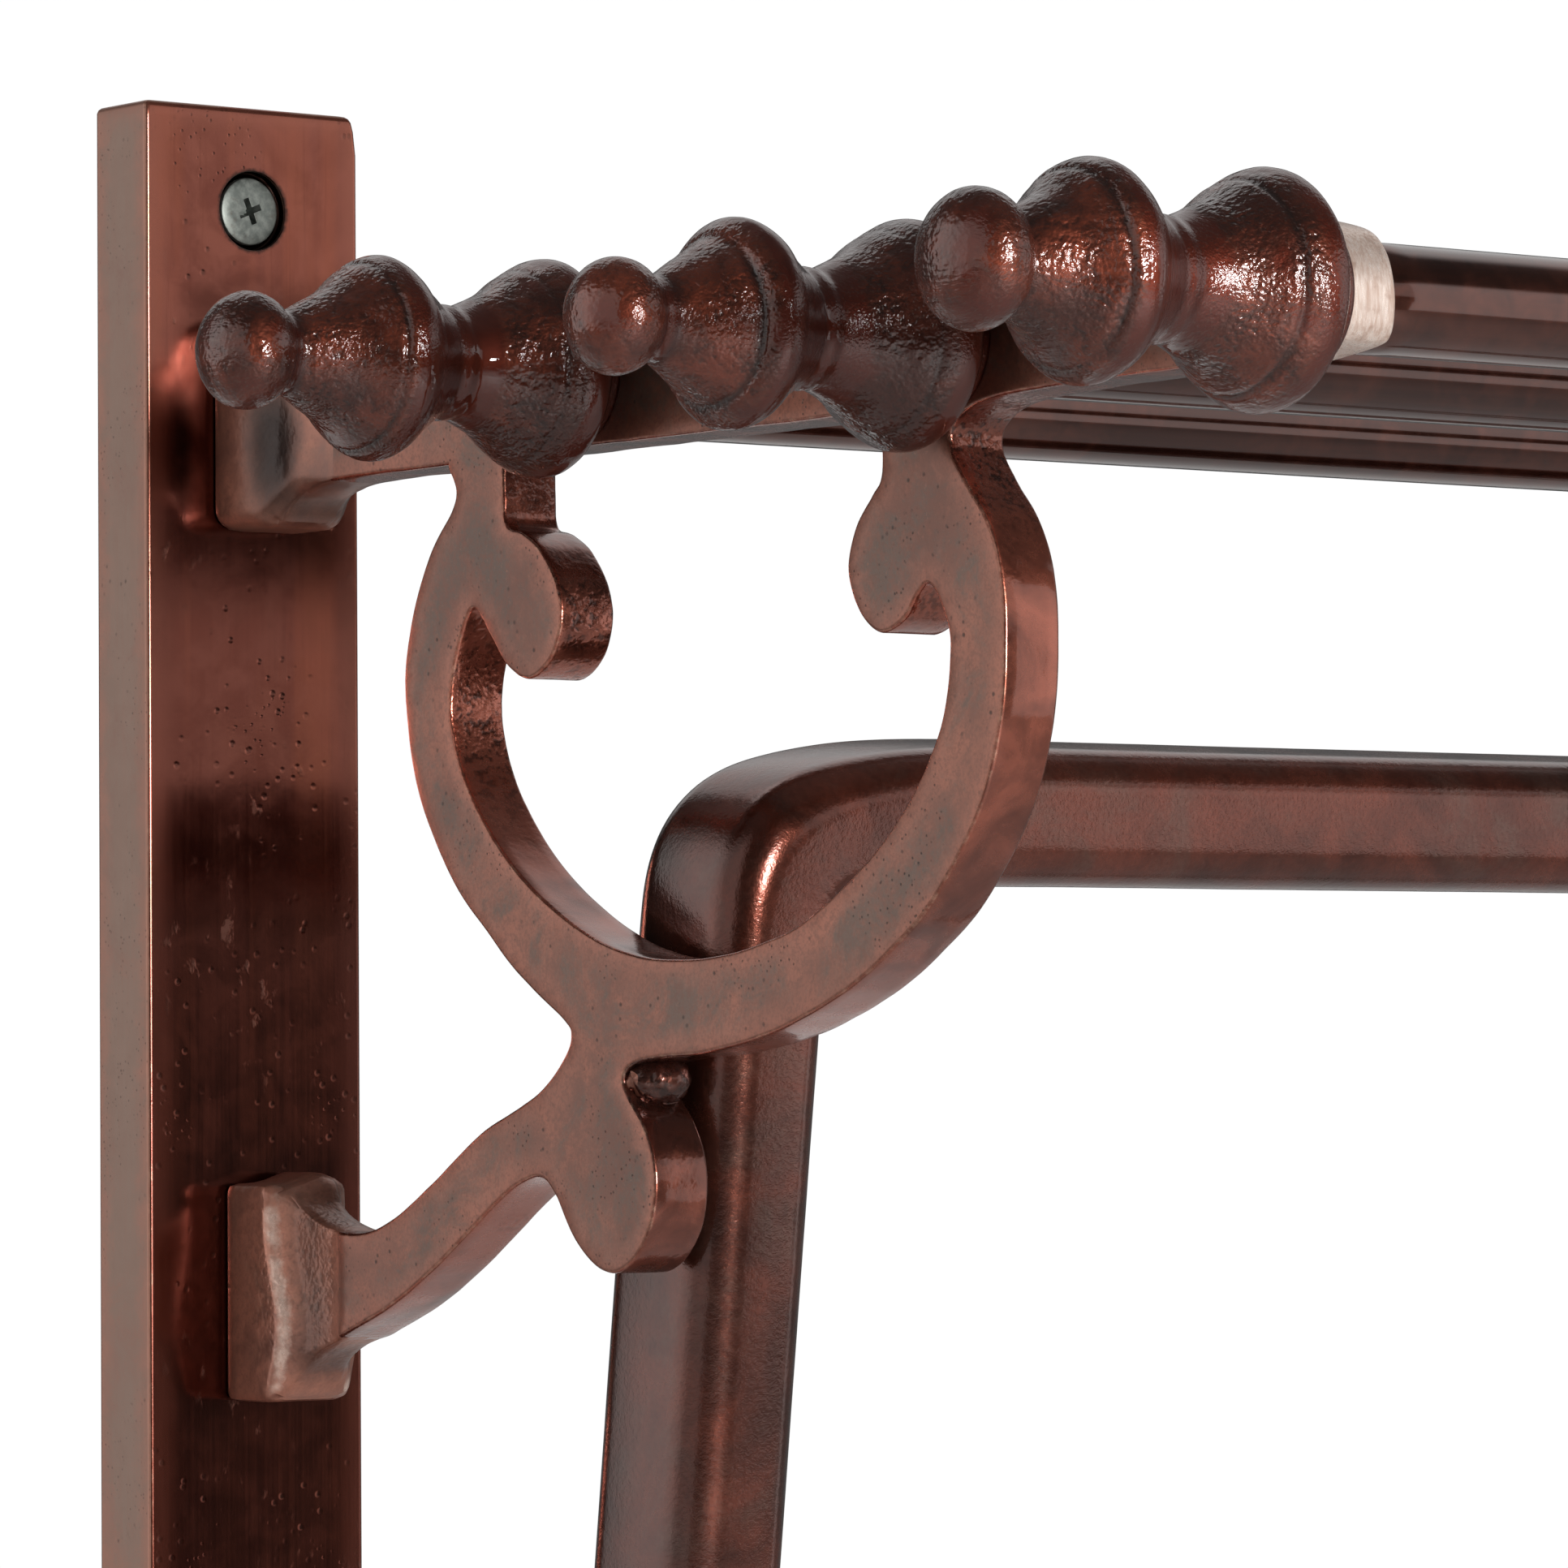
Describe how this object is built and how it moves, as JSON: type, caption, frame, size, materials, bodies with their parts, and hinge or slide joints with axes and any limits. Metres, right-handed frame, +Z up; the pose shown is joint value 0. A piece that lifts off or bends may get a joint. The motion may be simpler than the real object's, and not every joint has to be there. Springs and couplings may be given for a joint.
{
  "type": "wall-mounted trouser press",
  "caption": "Wall rack of patinated bronze: flat stiles, cast scroll brackets, tubular shelf rails with turned finials, and a bent-tube bail that swings on pins at the foot to hold trousers.",
  "frame": {"origin": "centre of the four wall screws, on the wall plane (the backs of the stiles)", "axes": "+Y into the wall, -Y towards the room, +Z up, X along the rails"},
  "size_m": [0.5778, 0.2424, 0.64],
  "materials": {
    "stile_bronze": "satin lacquered copper-brown patina, worn bright along the arrises, small casting pits",
    "bracket_bronze": "satin copper-brown flat faces with grey mottling, glossier red-brown edges",
    "finial_bronze": "glossy dark red-brown lacquer over a turned and cast skin",
    "rail_bronze": "glossy dark brown lacquered tube",
    "bail_bronze": "glossy dark red-brown lacquered tube",
    "turned_brass": "plain turned",
    "zinc_screw": "dull zinc plate"
  },
  "bodies": {
    "frame": {"left_stile": "stile_bronze", "right_stile": "stile_bronze", "left_bracket": "bracket_bronze", "right_bracket": "bracket_bronze", "rear_rail": "rail_bronze", "middle_rail": "rail_bronze", "front_rail": "rail_bronze", "left_rear_finial": "finial_bronze", "left_middle_finial": "finial_bronze", "left_front_finial": "finial_bronze", "right_rear_finial": "finial_bronze", "right_middle_finial": "finial_bronze", "right_front_finial": "finial_bronze", "finial_studs": "turned_brass", "rail_end_plugs": "turned_brass", "bracket_screws": "zinc_screw", "wall_screws": "zinc_screw", "left_pivot_lug": "bracket_bronze", "right_pivot_lug": "bracket_bronze", "lug_screws": "zinc_screw", "left_pivot_pin": "turned_brass", "right_pivot_pin": "turned_brass", "pivot_washers": "turned_brass"},
    "bail": {"bail_frame": "bail_bronze", "left_bail_foot": "bail_bronze", "right_bail_foot": "bail_bronze", "pivot_bushes": "turned_brass"}
  },
  "joints": [
    {"name": "bail_swing", "type": "hinge", "parent": "frame", "child": "bail", "pos_m": [0, -0.025, -0.27598], "axis": [1, 0, 0], "range_deg": [-7.4, 0]}
  ]
}
